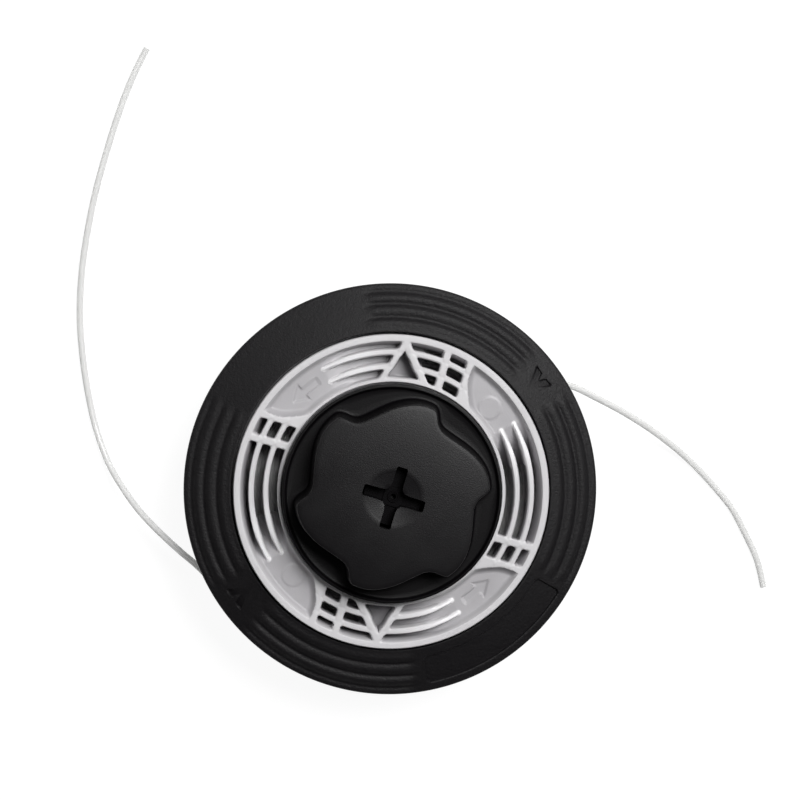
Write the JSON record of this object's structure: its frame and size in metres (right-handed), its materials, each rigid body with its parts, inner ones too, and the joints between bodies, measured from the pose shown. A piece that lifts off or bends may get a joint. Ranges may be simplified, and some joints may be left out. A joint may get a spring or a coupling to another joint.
{
  "type": "trimmer head",
  "caption": "Round tap-to-feed line trimmer head with an outer ring, windowed spool flange, lobed knob, sprung spool and two free line ends.",
  "frame": {"origin": "centre of the hub's flat machine-side face, on the spin axis", "axes": "+Z along the spin axis from the machine side to the tap knob; +X and +Y as the picture's right and up, seen from the knob"},
  "size_m": [0.2182, 0.1975, 0.0534],
  "materials": {
    "black_plastic": "matte moulded",
    "ring_plastic": "fine spark-eroded grain",
    "knob_plastic": "satin moulded",
    "light_plastic": "satin moulded",
    "natural_plastic": "natural moulded",
    "nylon_line": "translucent extruded",
    "steel": "zinc plated",
    "spring_steel": "drawn wire",
    "dark_steel": "black oxide",
    "eyelet_metal": "turned"
  },
  "bodies": {
    "housing": {"upper_housing": "black_plastic", "drive_insert": "steel", "index_crown": "natural_plastic", "lower_spring_seat": "steel", "spring": "spring_steel", "eyelet_right": "eyelet_metal", "eyelet_left": "eyelet_metal", "base_ring": "ring_plastic", "line_tail_right": "nylon_line", "line_tail_left": "nylon_line"},
    "plunger": {"index_sleeve": "natural_plastic", "upper_spring_seat": "steel", "pawl_ring": "natural_plastic", "thrust_washer": "steel"},
    "spool_set": {"spool": "black_plastic", "spool_flange": "light_plastic", "line_winding": "nylon_line", "knob": "knob_plastic", "knob_washer": "steel", "knob_screw": "dark_steel"}
  },
  "joints": [
    {"name": "tap", "type": "slide", "parent": "housing", "child": "plunger", "axis": [0, 0, -1], "range_m": [0, 0.005], "stiffness_N_per_m": 1500, "springref_m": -0.008, "deforming": ["spring"]},
    {"name": "wind", "type": "hinge", "parent": "plunger", "child": "spool_set", "pos_m": [0, 0, 0.034], "axis": [0, 0, 1], "continuous": true}
  ]
}
